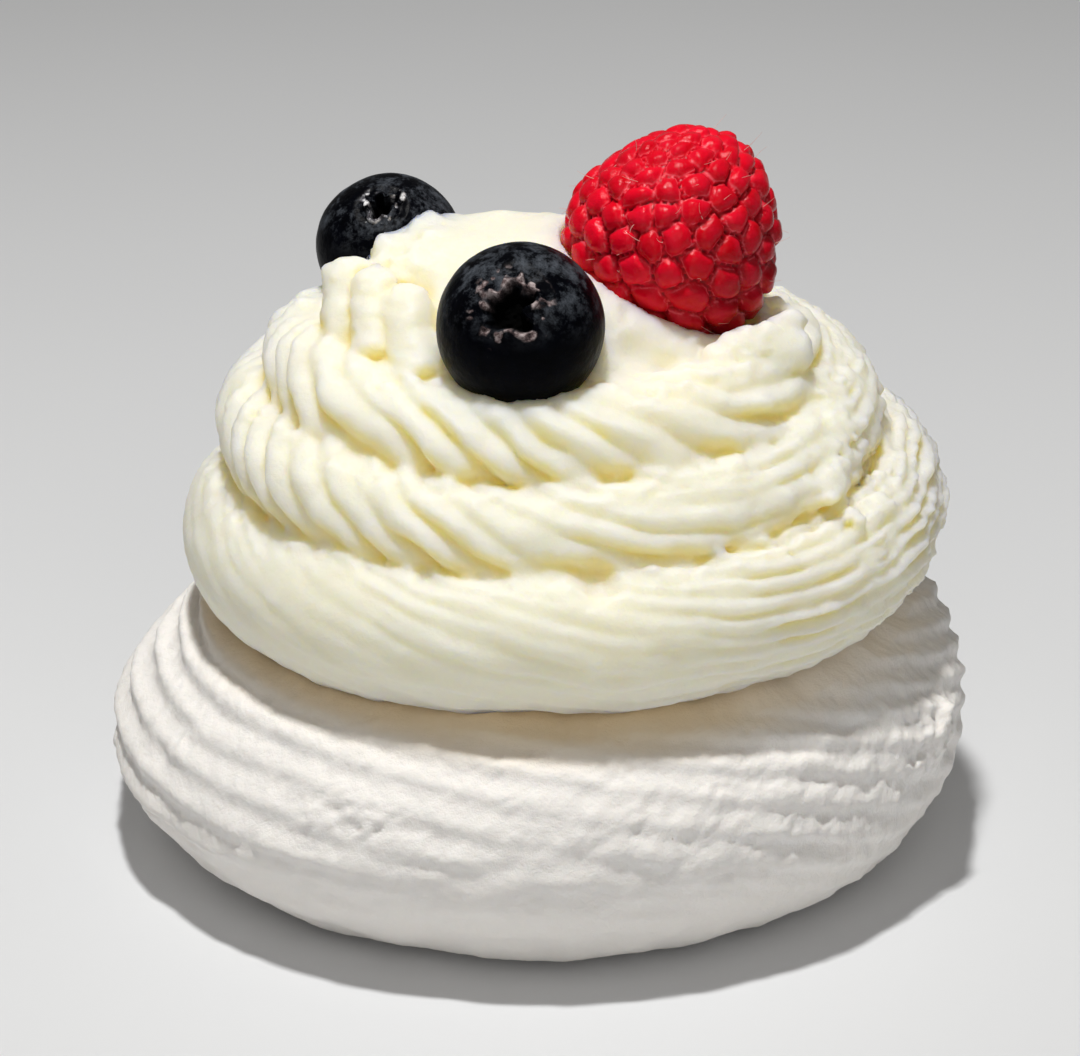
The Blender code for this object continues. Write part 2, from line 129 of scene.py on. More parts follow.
# Flutes along the rope: place in eighths of a turn, teeth, depth, slope, roughness.
FLUTES = (
    (0.0, 17, 0.10, 0.30, 0.02),
    (2.0, 18, 0.07, 0.40, 0.02),
    (3.2, 19, 0.08, 0.38, 0.03),
    (4.2, 22, 0.12, 0.24, 0.06),
    (4.8, 30, 0.24, 0.06, 0.12),
    (5.6, 32, 0.32, -0.02, 0.20),
    (6.2, 30, 0.56, -0.03, 0.26),
    (7.5, 18, 0.38, 0.15, 0.08),
    (9.0, 10, 0.45, 0.80, 0.04),
    (10.0, 8, 0.46, 1.20, 0.03),
    (11.0, 8, 0.48, 1.10, 0.03),
    (12.0, 10, 0.42, 0.60, 0.05),
    (12.5, 16, 0.28, 0.10, 0.09),
    (14.0, 21, 0.26, 0.00, 0.16),
    (15.0, 16, 0.30, 0.15, 0.10),
    (16.0, 10, 0.40, 0.60, 0.04),
    (17.5, 8, 0.48, 1.60, 0.03),
    (18.5, 8, 0.50, 1.20, 0.03),
    (19.0, 8, 0.50, 0.45, 0.03),
    (19.6, 8, 0.54, 0.90, 0.04),
    (20.0, 8, 0.60, 1.25, 0.05),
    (20.6, 8, 0.54, 0.90, 0.08),
    (21.2, 10, 0.44, 0.10, 0.10),
    (22.5, 14, 0.36, 0.00, 0.10),
    (24.0, 8, 0.42, 0.70, 0.04),
    (25.0, 5, 0.40, 1.60, 0.03),
    (26.0, 3, 0.15, 1.60, 0.03),
    (27.0, 3, 0.15, 1.60, 0.03),
    (27.4, 3, 0.15, 2.00, 0.03),
    (30.0, 4, 0.10, 0.60, 0.03),
)
FLUTE_SKEW = 0.2
# Flutes fade out towards the underside of the rope, between these angles round it.
FADE_LOW = math.radians(-42.0)
FADE_HIGH = 0.0
# Passes of the rope round the axis, points along it, and the angle in which an end tapers.
ROPE_TURNS = 4
ROPE_SAMPLES = 2400
ROPE_END_TAPER = math.radians(22.0)
# Distance over which two neighbouring turns share their roughness.
ROUGH_MIX = 0.4
# Creases between the turns: width, depth, and how much deeper they are at one bearing.
CREASE_WIDTH = 0.9
CREASE_DEPTH = 0.06
CREASE_MORE = 0.8
CREASE_DEEPEST = math.radians(333.0)
# The swirl's axis lies to the right: by how much low down and high up, and between which heights.
SHIFT_LOW = 2.2
SHIFT_HIGH = 0.4
SHIFT_START = 28.0
SHIFT_END = 44.0
# Grid that the cream is sampled on: first in blocks, then in full near the surface.
# CREAM_FAR is farther off than any of it.
CREAM_STEP = 0.29
CREAM_LOW = (-33.0, -33.5, 19.5)
CREAM_HIGH = (38.0, 33.5, 57.0)
CREAM_BLOCK = 4
CREAM_NEAR = 2.6
CREAM_FAR = 40.0
# Moving a grid point to the surface: limits, and the step that measures the slope.
LEAST_SLOPE = 0.3
MOST_MOVE = 0.25
SLOPE_STEP = 0.03
# Share of the cream's triangles that is kept.
CREAM_KEEP = 0.51
# Gaps left by the cream over the meringue, round a blueberry and round the raspberry.
CREAM_GAP = 0.05
BERRY_GAP = 0.02
RASPBERRY_GAP = 0.15
# Distances over which the cream's parts run into each other.
TURN_BLEND = 0.75
CORE_BLEND = 0.8
CAP_BLEND = 1.0
SADDLE_BLEND = 1.5
FINGER_BLEND = 0.3
WISP_BLEND = 0.5
# How far off its surface the cream looks for more, to find grooves and hollows.
GROOVE_REACH = 0.8
HOLLOW_REACH = 3.0

# Smooth inner mass: (x, y, z, radius), a flattened cap, and a saddle as start, end, radius.
CORE = ((1.5, 0.0, 33.0, 20.0), (0.5, 0.0, 38.5, 13.0), (6.0, 0.0, 41.2, 6.5))
CAP_CENTRE = (-5.2, 2.2, 46.6)
CAP_SIZE = (9.8, 8.0, 5.7)
CAP_POWER = 3.0
SADDLE = (((2.5, -3.5, 46.6), (13.0, -9.0, 42.0), 4.0),)
# Three fingers of cream at the left, and the bank beside the raspberry: start, end, radius.
FINGERS = (
    ((-15.6, -2.2, 49.0), (-15.7, -5.5, 45.5), 2.15),
    ((-13.3, -5.4, 49.2), (-13.0, -9.2, 45.6), 2.05),
    ((-10.6, -7.9, 48.7), (-9.6, -12.2, 44.8), 2.15),
    ((13.0, -8.5, 43.2), (18.4, -3.0, 43.3), 3.20),
)
# Torn patch of cream on the right: its middle and its reach.
TORN_PLACE = (25.2, -14.2, 36.8)
TORN_SIZE = (5.4, 6.6, 3.6)
# Small lumps (and dents, below zero) on the cream: place, reach, height.
DABS = (
    ((-13.2, 0.2, 51.6), 1.1, 0.9),
    ((-9.4, 4.5, 51.9), 1.4, 0.5),
    ((-3.0, 5.0, 52.4), 1.8, 0.35),
    ((-15.9, -7.6, 43.9), 0.6, 0.6),
    ((-14.2, -9.6, 43.9), 0.7, 0.6),
    ((-11.6, -12.2, 43.4), 0.7, 0.7),
    ((-10.6, -13.6, 43.0), 0.6, 0.6),
    ((-9.2, -14.8, 42.6), 0.7, 0.6),
    ((4.9, -27.8, 33.0), 1.15, -3.2),
    ((1.2, -22.0, 38.3), 1.5, 1.1),
    ((-5.7, -21.2, 40.8), 1.4, 0.6),
    ((-2.1, -22.0, 40.4), 1.3, 0.6),
    ((9.9, -20.2, 40.0), 1.5, 0.7),
    ((4.4, -31.4, 27.0), 0.6, 0.4),
    ((-7.0, -27.5, 29.5), 0.8, 0.25),
    ((12.5, -17.5, 41.5), 1.3, 0.6),
    ((24.8, -12.4, 37.2), 2.2, 1.0),
    ((23.6, -15.4, 36.6), 1.5, 0.6),
    ((18.5, -15.5, 43.0), 1.1, 0.5),
    ((15.8, -10.2, 46.9), 0.6, 0.5),
    ((18.6, -8.6, 47.5), 0.6, 0.6),
    ((20.6, -7.0, 47.8), 0.55, 0.5),
    ((7.8, -12.4, 46.5), 1.4, -1.1),
    ((9.8, -12.8, 45.4), 1.3, -1.0),
)
# Thin curls of cream, and the bank before the raspberry's foot: start, end, radius.
WISPS = (
    ((18.6, 2.4, 45.4), (20.2, 1.4, 46.0), 0.40),
    ((20.2, 1.4, 46.0), (21.9, 0.0, 44.6), 0.36),
    ((14.4, -10.9, 45.4), (17.6, -9.2, 46.3), 1.30),
    ((17.6, -9.2, 46.3), (20.9, -6.6, 46.6), 1.25),
    ((15.2, -11.0, 44.6), (20.6, -7.8, 44.9), 2.00),
)

# Blueberries: centre, the way that the crown faces, radius and half height.
# A way is in degrees: round from straight ahead, and up.
FRONT_BERRY = ((-1.3, -14.2, 49.3), (-10.0, 35.0), 6.75, 6.15)
BACK_BERRY = ((-12.6, 8.2, 48.7), (-10.0, 55.0), 6.2, 5.6)
# Their mesh has closer rows in the zone of the crown.
BERRY_AROUND = 240
BERRY_ROWS = 190
CROWN_ROWS = 95
CROWN_ZONE = math.radians(38.0)
CROWN_HOLE = 1.75
CROWN_REACH = 3.0
SEPALS = 5

# Raspberry: centre, radius, half height, the way that its tip faces, and its bend.
RASPBERRY = (11.0, -1.6, 52.6)
RASPBERRY_RADIUS = 9.0
RASPBERRY_HALF = 9.3
RASPBERRY_FACING = (-35.0, 74.0)
RASPBERRY_BEND = 0.022
# Drupelets: pitch, pitch between rows as a share of that, relief, how much smaller they are at the
# tip, and the angles from the tip where they have their full size and where they end.
DRUPELET_PITCH = 3.6
DRUPELET_ROW = 0.86
DRUPELET_DEPTH = 1.45
DRUPELET_SHRINK = 0.45
DRUPELET_FULL = math.radians(120.0)
DRUPELET_LOWEST = math.radians(168.0)
# The raspberry's side with painted shade, where its drupelets are painted darker.
SHADED_SIDE_WAY = np.array((0.76, -0.30, -0.57))
# Share of the drupelets that have a hair, and the hair's steps, sides and radius.
HAIR_SHARE = 0.45
HAIR_STEPS = 6
HAIR_SIDES = 3
HAIR_RADIUS = 0.035


# -------- numbers

def blend(low, high, value):
    """Smooth 0 to 1 step between low and high."""
    part = np.clip((value - low) / (high - low), 0.0, 1.0)
    return part * part * (3.0 - 2.0 * part)


def smooth_rows(rows, places):
    """Catmull-Rom curve through rows, read at fractional places."""
    rows = np.asarray(rows, float)
    last = len(rows) - 1
    places = np.clip(places, 0.0, last)
    index = np.minimum(places.astype(int), last - 1)
    t = (places - index)[:, None]
    a = rows[np.maximum(index - 1, 0)]
    b = rows[index]
    c = rows[index + 1]
    d = rows[np.minimum(index + 2, last)]
    square = (2 * a - 5 * b + 4 * c - d) * t ** 2
    cube = (3 * b - a - 3 * c + d) * t ** 3
    return 0.5 * (2 * b + (c - a) * t + square + cube)


def noise(points, scale, seed):
    """Smooth random field of about -1 to 1 with lumps of this size."""
    table = np.random.default_rng(seed).uniform(-1.0, 1.0, (LATTICE, LATTICE, LATTICE))
    place = points / scale
    cell = np.floor(place).astype(int)
    part = place - cell
    part = part * part * (3.0 - 2.0 * part)
    total = np.zeros(len(points))
    for i in (0, 1):
        wide = part[:, 0] if i else 1.0 - part[:, 0]
        for j in (0, 1):
            deep = part[:, 1] if j else 1.0 - part[:, 1]
            for k in (0, 1):
                tall = part[:, 2] if k else 1.0 - part[:, 2]
                corner = (cell + (i, j, k)) % LATTICE
                value = table[corner[:, 0], corner[:, 1], corner[:, 2]]
                total += wide * deep * tall * value
    return total


def ridge(phase):
    """Rounded ridge with a narrow groove, from about -0.6 to 1."""
    return 2.0 * np.sqrt(np.cos(phase * 0.5) ** 2 + 0.03) - 1.0


def skewed(phase, share):
    """Phase whose ridges rise fast and fall slowly, so that their upper faces are broad."""
    return phase + share * np.cos(phase)


def furrow(phase, width):
    """1 along a narrow groove between flat bands, 0 elsewhere."""
    return np.exp(-(np.cos(phase * 0.5) / width) ** 2)


def soft_min(a, b, width):
    """Smaller of two fields, with the crease between them rounded."""
    part = np.clip(0.5 + 0.5 * (b - a) / width, 0.0, 1.0)
    return b + (a - b) * part - width * part * (1.0 - part)


# -------- mesh helpers

def add_object(name, data):
    """New object in the scene."""
    made = bpy.data.objects.new(name, data)
    bpy.context.scene.collection.objects.link(made)
    return made


def add_mesh(name, points, faces, material, node):
    """Smooth mesh piece from points in millimetres, riding on the model's body."""
    mesh = bpy.data.meshes.new(name)
    mesh.from_pydata((points * MM).tolist(), [], faces)
    mesh.polygons.foreach_set("use_smooth", [True] * len(mesh.polygons))
    mesh.materials.append(material)
    mesh.update()
    piece = add_object(name, mesh)
    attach(piece, "root")
    if node:
        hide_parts(node)
    return piece


def add_attribute(piece, name, values):
    """One number for each point of a mesh, for its material."""
    layer = piece.data.attributes.new(name, "FLOAT", "POINT")
    layer.data.foreach_set("value", np.asarray(values, dtype=np.float32))


def thin_out(piece, keep):
    """Merge the triangles of the flatter places, so that the ridges keep theirs."""
    full = piece.data
    thinner = piece.modifiers.new("thin_out", "DECIMATE")
    thinner.ratio = keep
    evaluated = piece.evaluated_get(bpy.context.evaluated_depsgraph_get())
    piece.data = bpy.data.meshes.new_from_object(evaluated)
    piece.modifiers.remove(thinner)
    bpy.data.meshes.remove(full)


def grid_faces(rows, columns):
    """Quads of a grid whose columns close into rings, with a point at each end."""
    index = np.arange(rows * columns).reshape(rows, columns)
    after = np.roll(index, -1, axis=1)
    quads = np.stack([index[:-1], after[:-1], after[1:], index[1:]], -1).reshape(-1, 4).tolist()
    low = rows * columns
    quads += [[low, b, a] for a, b in zip(index[0].tolist(), after[0].tolist())]
    quads += [[low + 1, a, b] for a, b in zip(index[-1].tolist(), after[-1].tolist())]
    return quads


def surface_net(field, low, step):
    """Points and quads of the zero surface of a sampled field."""
    inside = field < 0.0
    count = np.zeros(tuple(n - 1 for n in field.shape), dtype=np.int8)
    corners = [(i, j, k) for i in (0, 1) for j in (0, 1) for k in (0, 1)]
    shape = count.shape
    for i, j, k in corners:
        count += inside[i:i + shape[0], j:j + shape[1], k:k + shape[2]]
    cells = np.argwhere((count > 0) & (count < 8))
    number = np.full(shape, -1)
    number[tuple(cells.T)] = np.arange(len(cells))
    values = {c: field[cells[:, 0] + c[0], cells[:, 1] + c[1], cells[:, 2] + c[2]] for c in corners}
    total = np.zeros((len(cells), 3))
    hits = np.zeros(len(cells))
    for a in corners:
        for axis in range(3):
            if a[axis]:
                continue
            b = list(a)
            b[axis] = 1
            start = values[a]
            end = values[tuple(b)]
            crosses = (start < 0.0) != (end < 0.0)
            part = np.where(crosses, start / np.where(crosses, start - end, 1.0), 0.0)
            spot = np.tile(np.array(a, float), (len(cells), 1))
            spot[:, axis] += part
            total += spot * crosses[:, None]
            hits += crosses
    points = np.asarray(low) + step * (cells + total / hits[:, None])
    faces = []
    for axis in range(3):
        ahead = [slice(None)] * 3
        behind = [slice(None)] * 3
        ahead[axis] = slice(1, None)
        behind[axis] = slice(None, -1)
        first = inside[tuple(behind)]
        second = inside[tuple(ahead)]
        edges = np.argwhere(first != second)
        u = (axis + 1) % 3
        v = (axis + 2) % 3
        keep = (edges[:, u] > 0) & (edges[:, v] > 0) & (edges[:, u] < shape[u]) & (edges[:, v] < shape[v])
        edges = edges[keep]
        outward = first[tuple(edges.T)]
        ring = []
        for du, dv in ((1, 1), (0, 1), (0, 0), (1, 0)):
            cell = edges.copy()
            cell[:, u] -= du
            cell[:, v] -= dv
            ring.append(number[tuple(cell.T)])
        quad = np.stack(ring, -1)
        quad[~outward] = quad[~outward][:, ::-1]
        faces.append(quad)
    return points, np.concatenate(faces)


def spread(values, faces, rounds):
    """Values on the points of a quad mesh, averaged with their neighbours."""
    count = np.bincount(faces.ravel(), minlength=len(values))
    for _ in range(rounds):
        means = values[faces].mean(1)
        values = sum(np.bincount(faces[:, i], means, len(values)) for i in range(4)) / np.maximum(count, 1)
    return values


# -------- materials

def fill_in(made, inputs):
    """Set a node's unlinked inputs; underscores in their names stand for spaces."""
    for key, value in inputs.items():
        made.inputs[key.replace("_", " ")].default_value = value


def new_material(name, **inputs):
    """New material, its node tree and its Principled shader with these inputs."""
    material = bpy.data.materials.new(name)
    material.use_nodes = True
    tree = material.node_tree
    shader = tree.nodes["Principled BSDF"]
    fill_in(shader, inputs)
    return material, tree, shader


def node(tree, kind, settings=None, **inputs):
    """New node with its settings and unlinked inputs filled in."""
    made = tree.nodes.new(kind)
    for key, value in (settings or {}).items():
        setattr(made, key, value)
    fill_in(made, inputs)
    return made


def attribute(tree, name):
    """Output that reads a number kept on the points."""
    return node(tree, "ShaderNodeAttribute", {"attribute_name": name}).outputs["Fac"]


def texture(tree, scale, detail, roughness=0.55, distortion=0.0):
    """Noise texture in object space; scale is lumps for each metre."""
    place = node(tree, "ShaderNodeTexCoord").outputs["Object"]
    made = node(tree, "ShaderNodeTexNoise", Scale=scale, Detail=detail, Roughness=roughness,
                Distortion=distortion)
    tree.links.new(place, made.inputs["Vector"])
    return made.outputs["Fac"]


def ramp(tree, source, stops):
    """Colour ramp over a number; stops are (place, colour), and one number alone is a grey."""
    made = node(tree, "ShaderNodeValToRGB")
    marks = made.color_ramp.elements
    while len(marks) < len(stops):
        marks.new(0.5)
    for mark, (place, colour) in zip(marks, stops):
        mark.position = place
        mark.color = (*colour, 1.0) if isinstance(colour, tuple) else (colour, colour, colour, 1.0)
    tree.links.new(source, made.inputs["Fac"])
    return made.outputs["Color"]


def mix(tree, amount, first, second):
    """Mix of two colours, each a colour or an output, by an output."""
    made = node(tree, "ShaderNodeMix", {"data_type": "RGBA", "clamp_factor": True})
    for socket, value in ((made.inputs[0], amount), (made.inputs[6], first), (made.inputs[7], second)):
        if isinstance(value, tuple):
            socket.default_value = (*value, 1.0)
        else:
            tree.links.new(value, socket)
    return made.outputs[2]


def product(tree, first, second):
    """Product of two outputs."""
    made = node(tree, "ShaderNodeMath", {"operation": "MULTIPLY"})
    tree.links.new(first, made.inputs[0])
    tree.links.new(second, made.inputs[1])
    return made.outputs[0]


def bump(tree, shader, *layers):
    """Chain of bumps over noise: its scale, detail, roughness; a strength, a distance in metres."""
    normal = None
    for scale, detail, roughness, strength, distance in layers:
        made = node(tree, "ShaderNodeBump", Strength=strength, Distance=distance)
        tree.links.new(texture(tree, scale, detail, roughness), made.inputs["Height"])
        if normal is not None:
            tree.links.new(normal, made.inputs["Normal"])
        normal = made.outputs["Normal"]
    tree.links.new(normal, shader.inputs["Normal"])


def meringue_material():
    """Dry white crust with fine crackle; painted shade in the grooves, warm under the cream and in dots
    for tiny pores.
    """
    material, tree, shader = new_material(
        "meringue_crust", Roughness=0.82, Subsurface_Weight=0.18,
        Subsurface_Radius=(1.0, 0.8, 0.6), Subsurface_Scale=0.0007)
    groove = attribute(tree, "groove")
    blotch = ramp(tree, texture(tree, 90.0, 3.0), (
        (0.35, (0.945, 0.918, 0.888)), (0.65, (0.92, 0.898, 0.872))))
    # Painted shade: the crust is painted darker grey along the ridges' grooves.
    painted_groove_shade = mix(tree, ramp(tree, groove, ((0.15, 0.0), (0.8, 0.25))), blotch, (0.78, 0.75, 0.71))
    # Painted warm shade: yellow-brown where the cream's shadow falls on the crust.
    colour = mix(tree, attribute(tree, "painted_warm_shade"), painted_groove_shade, (0.78, 0.64, 0.42))
    # Painted shade: rare dark dots stand for the shade inside tiny pores.
    pore_shade_specks = ramp(tree, texture(tree, 900.0, 1.0), ((0.82, 0.0), (0.85, 1.0)))
    pore_shaded = mix(tree, pore_shade_specks, colour, (0.45, 0.36, 0.28))
    tree.links.new(pore_shaded, shader.inputs["Base Color"])
    bump(tree, shader, (420.0, 4.0, 0.6, 0.30, 0.0007), (1500.0, 5.0, 0.75, 0.42, 0.0004))
    return material


def cream_material():
    """Whipped cream: ivory, translucent, yellower where light gathers in the grooves."""
    material, tree, shader = new_material(
        "whipped_cream", Roughness=0.46, Specular_IOR_Level=0.18, Subsurface_Weight=1.0,
        Subsurface_Radius=(1.0, 0.88, 0.50), Subsurface_Scale=0.0044)
    groove = attribute(tree, "groove")
    hollow = attribute(tree, "hollow")
    base = ramp(tree, texture(tree, 70.0, 2.0), ((0.3, (0.99, 0.903, 0.765)), (0.7, (0.975, 0.885, 0.73))))
    # Painted light: a yellow glow in the grooves, deeper yellow in the hollows.
    warm = mix(tree, ramp(tree, groove, ((0.15, 0.0), (0.75, 0.45))), base, (0.98, 0.865, 0.59))
    deep = mix(tree, ramp(tree, hollow, ((0.10, 0.0), (0.38, 0.95))), warm, (1.0, 0.84, 0.43))
    tree.links.new(deep, shader.inputs["Base Color"])
    bump(tree, shader, (700.0, 3.0, 0.6, 0.30, 0.0004), (1800.0, 4.0, 0.7, 0.45, 0.0002))
    return material


def raspberry_material():
    """Moist crimson drupelets, with thin pale rims of painted light along the creases and painted shade
    down in them.
    """
    material, tree, shader = new_material(
        "raspberry_flesh", Roughness=0.15, Specular_IOR_Level=0.14, Subsurface_Weight=0.14,
        Subsurface_Radius=(1.0, 0.10, 0.10), Subsurface_Scale=0.0010)
    edge = attribute(tree, "edge")
    flesh = ramp(tree, attribute(tree, "tone"), (
        (0.0, (0.30, 0.0001, 0.003)), (0.45, (0.60, 0.0006, 0.008)), (1.0, (0.84, 0.0020, 0.020))))
    mottling = ramp(tree, texture(tree, 700.0, 4.0), ((0.35, 0.0), (0.7, 0.4)))
    mottled = mix(tree, mottling, flesh, (0.80, 0.014, 0.05))
    # Painted light: thin broken pale pink rims along the drupelets' edges.
    painted_rim_light = ramp(tree, edge, ((0.0, 0.0), (0.32, 0.0), (0.46, 0.80), (0.60, 0.10), (0.90, 0.0)))
    broken = ramp(tree, texture(tree, 1300.0, 3.0), ((0.40, 0.0), (0.62, 1.0)))
    amount = product(tree, painted_rim_light, broken)
    rim_lit = mix(tree, amount, mottled, (0.86, 0.13, 0.17))
    # Painted shade: the creases between the drupelets are painted dark red.
    dark = ramp(tree, edge, ((0.0, 0.9), (0.34, 0.0)))
    colour = mix(tree, dark, rim_lit, (0.12, 0.0, 0.001))
    tree.links.new(colour, shader.inputs["Base Color"])
    bump(tree, shader, (900.0, 4.0, 0.6, 0.35, 0.0004), (2600.0, 4.0, 0.7, 0.25, 0.0002))
    return material


def blueberry_material(name, scrap_dark, pale_scrap_and_glint):
    """Nearly black skin under patches of waxy bloom, kept to the upper half as painted sheen, with crown
    scraps whose pale colour can be painted glints.
    """
    material, tree, shader = new_material(name, Specular_IOR_Level=0.028)
    # Painted sheen: the waxy bloom patches show only on the berry's upper half, so its top reads lighter.
    patches = ramp(tree, texture(tree, 420.0, 8.0, 0.78, 0.15), ((0.47, 0.0), (0.64, 1.0)))
    amount = product(tree, patches, attribute(tree, "bloom_and_top_sheen"))
    skin = ramp(tree, texture(tree, 600.0, 4.0), (
        (0.3, (0.0006, 0.0007, 0.0012)), (0.7, (0.0016, 0.002, 0.004))))
    waxy = mix(tree, amount, skin, (0.075, 0.085, 0.102))
    scrap = attribute(tree, "scrap")
    hollow = attribute(tree, "hollow")
    # On the far berry the pale scrap colour is near white: a painted highlight of glints on its crown.
    scraps = ramp(tree, texture(tree, 1300.0, 4.0, 0.7), (
        (0.36, (0.02, 0.015, 0.017)), (0.48, scrap_dark), (0.62, pale_scrap_and_glint)))
    outside = mix(tree, scrap, waxy, scraps)
    colour = mix(tree, hollow, outside, (0.001, 0.001, 0.001))
    tree.links.new(colour, shader.inputs["Base Color"])
    dull = mix(tree, amount, (0.34, 0.34, 0.34), (0.6, 0.6, 0.6))
    tree.links.new(mix(tree, hollow, dull, (1.0, 1.0, 1.0)), shader.inputs["Roughness"])
    bump(tree, shader, (500.0, 4.0, 0.6, 0.25, 0.0004), (2600.0, 3.0, 0.6, 0.25, 0.0001))
    return material


def hair_material():
    """Pale pink hair."""
    material, tree, shader = new_material("raspberry_hair", Roughness=0.5)
    tone = ramp(tree, texture(tree, 300.0, 2.0), ((0.3, (0.78, 0.40, 0.36)), (0.7, (0.86, 0.62, 0.55))))
    tree.links.new(tone, shader.inputs["Base Color"])
    return material


def floor_material():
    """Plain pale floor."""
    material, tree, shader = new_material("floor", Roughness=0.6)
    tone = ramp(tree, texture(tree, 6.0, 2.0), ((0.3, (0.735, 0.75, 0.775)), (0.7, (0.755, 0.77, 0.795))))
    tree.links.new(tone, shader.inputs["Base Color"])
    return material


# -------- meringue

def ridge_fall(angle):
    """Share of a whole turn's drop that a ridge line has lost at this angle."""
    turned = angle - RIDGE_STEEPEST
    return (1.5 * turned + 2.0 * np.sin(turned) + 0.25 * np.sin(2.0 * turned)) / (3.0 * math.pi)


def dense_profile():
    """Close points along the plain profile."""
    count = PROFILE_STEPS * (len(PROFILE) - 1) + 1
    return smooth_rows(PROFILE, np.arange(count) / PROFILE_STEPS)


def crown_height(radius):
    """Height of the meringue's plain upper face at a distance from its axis."""
    upper = dense_profile()
    upper = upper[upper[:, 1] > CROWN_START][::-1]
    return np.interp(radius, upper[:, 0], upper[:, 1], right=0.0)


def spot_weight(angle, height, bearing, level, around, up):
    """1 near a place on the side (bearing in degrees, height), falling to 0."""
    away = (np.mod(angle - math.radians(bearing) + math.pi, TURN) - math.pi) * SIDE_RADIUS
    return np.exp(-(away / around) ** 2 - ((height - level) / up) ** 2)


def profile_rows():
    """Distance up the profile, radius, height and slope of each row of the mesh."""
    line = dense_profile()
    run = np.concatenate([[0.0], np.cumsum(np.hypot(*np.diff(line, axis=0).T))])
    visible = run[-1] - HIDDEN_RUN
    shown = np.linspace(0.0, visible, MERINGUE_ROWS - HIDDEN_ROWS)
    rows = np.concatenate([shown, np.linspace(visible, run[-1], HIDDEN_ROWS + 1)[1:]])
    radius = np.interp(rows, run, line[:, 0])
    height = np.interp(rows, run, line[:, 1])
    slope = np.stack([np.gradient(radius, rows), np.gradient(height, rows)], -1)
    slope /= np.linalg.norm(slope, axis=1)[:, None]
    return rows, radius, height, slope


def ridge_depth(plain, angle, run, right):
    """Depth of the ridges at each point, and how far they show there, from 0 to 1."""
    feet = np.array(RIDGE_FOOT)
    start = np.interp(np.degrees(angle), feet[:, 0], feet[:, 1], period=360.0)
    start += 1.3 * noise(plain, 6.0, 20)
    shown = blend(start, start + 2.5, run)
    depth = RIDGE_DEPTH * (0.85 + 0.35 * noise(plain, 7.0, 13)) * (1.0 - 0.42 * right)
    depth *= 1.0 - 0.45 * blend(0.65, 0.95, np.cos(angle - RIDGE_FAINTEST))
    soft = 0.45 * blend(0.60, 0.92, np.cos(angle - RIDGE_SOFTEST))
    depth *= 1.0 - soft * (1.0 - blend(14.0, 18.0, plain[:, 2]))
    depth *= shown
    return depth, shown


def meringue_relief(plain, angle, run, phase, depth, shown, right):
    """Height of the crust over the plain profile: ridges, lumps, crumbs, scars and flakes."""
    push = depth * (0.6 * ridge(phase) + 0.5 * np.cos(phase) - 0.2) + 0.15 * shown
    push += 0.25 * depth * (0.5 + noise(plain, 4.0, 29)) * ridge(2.0 * phase)
    push += 0.35 * noise(plain, 8.0, 15) + 0.12 * noise(plain, 2.6, 16)
    crumbs = 0.06 + 0.03 * shown * blend(0.2, 0.8, right) + 0.03 * shown
    push += crumbs * (noise(plain, 0.9, 17) + 0.6 * noise(plain, 0.45, 18) + 1.2 * noise(plain, 1.8, 37))
    push -= 0.22 * (1.0 - shown) * blend(0.1, 0.7, noise(plain * (0.35, 0.35, 1.0), 2.4, 34))
    push += 0.16 * (1.0 - shown) * noise(plain * (0.45, 0.45, 1.0), 1.6, 38)
    broken = sum(amount * spot_weight(angle, plain[:, 2], *place) for *place, amount in FLAKES)
    crumbled = 0.30 + 0.45 * noise(plain, 0.9, 36) + 0.35 * noise(plain, 0.5, 35)
    push += broken * (crumbled + 0.35 * noise(plain, 1.7, 19))
    for *place, amount in SWELLINGS:
        push += amount * spot_weight(angle, plain[:, 2], *place)
    return push * blend(0.0, 3.0, run)


def make_meringue(material):
    """Domed, ridged base: ridges run level on the left and fall away on the right."""
    rows, radius, height, slope = profile_rows()
    around = np.linspace(0.0, TURN, MERINGUE_AROUND, endpoint=False)
    angles, runs = np.meshgrid(around, rows)
    angle = angles.ravel()
    run = runs.ravel()
    reach = radius.repeat(MERINGUE_AROUND)
    level = height.repeat(MERINGUE_AROUND)
    plain = np.stack([reach * np.cos(angle), reach * np.sin(angle), level], -1)
    warp = 0.75 * noise(plain, 9.0, 11) + 0.40 * noise(plain, 4.0, 12)
    phase = skewed(TURN * (run / RIDGE_PITCH + RIDGE_DROP * ridge_fall(angle)) + warp, RIDGE_SKEW)
    right = 0.5 + 0.5 * np.cos(angle - RIDGE_STEEPEST)
    depth, shown = ridge_depth(plain, angle, run, right)
    push = meringue_relief(plain, angle, run, phase, depth, shown, right)
    tangent = slope.repeat(MERINGUE_AROUND, 0)
    out = np.hypot(plain[:, 0], plain[:, 1]) + push * tangent[:, 1]
    up = np.maximum(level - push * tangent[:, 0], 0.0)
    lean = LEAN * blend(LEAN_START, LEAN_END, up)
    points = np.stack([lean + out * np.cos(angle), out * np.sin(angle), up], -1)
    points = np.concatenate([points, [[0.0, 0.0, 0.0], [LEAN, 0.0, PROFILE[-1][1]]]])
    faces = grid_faces(len(rows), MERINGUE_AROUND)
    piece = add_mesh("meringue_base", points, faces, material, "meringue")
    # Mask for the painted shade along the ridges' grooves.
    groove = furrow(phase, 0.5) * depth / RIDGE_DEPTH
    add_attribute(piece, "groove", np.concatenate([groove, [0.0, 0.0]]))
    # Painted warm shade: yellow-brown just under the cream's edge, weaker on the right, and a little
    # warmer towards the foot.
    painted_warm_shade = blend(18.0, 21.5, level) * (1.0 - 0.75 * blend(0.2, 0.9, np.cos(angle)))
    painted_warm_shade += 0.10 * (1.0 - blend(4.0, 13.0, level))
    add_attribute(piece, "painted_warm_shade", np.concatenate([painted_warm_shade, [0.0, 1.0]]))


# -------- cream

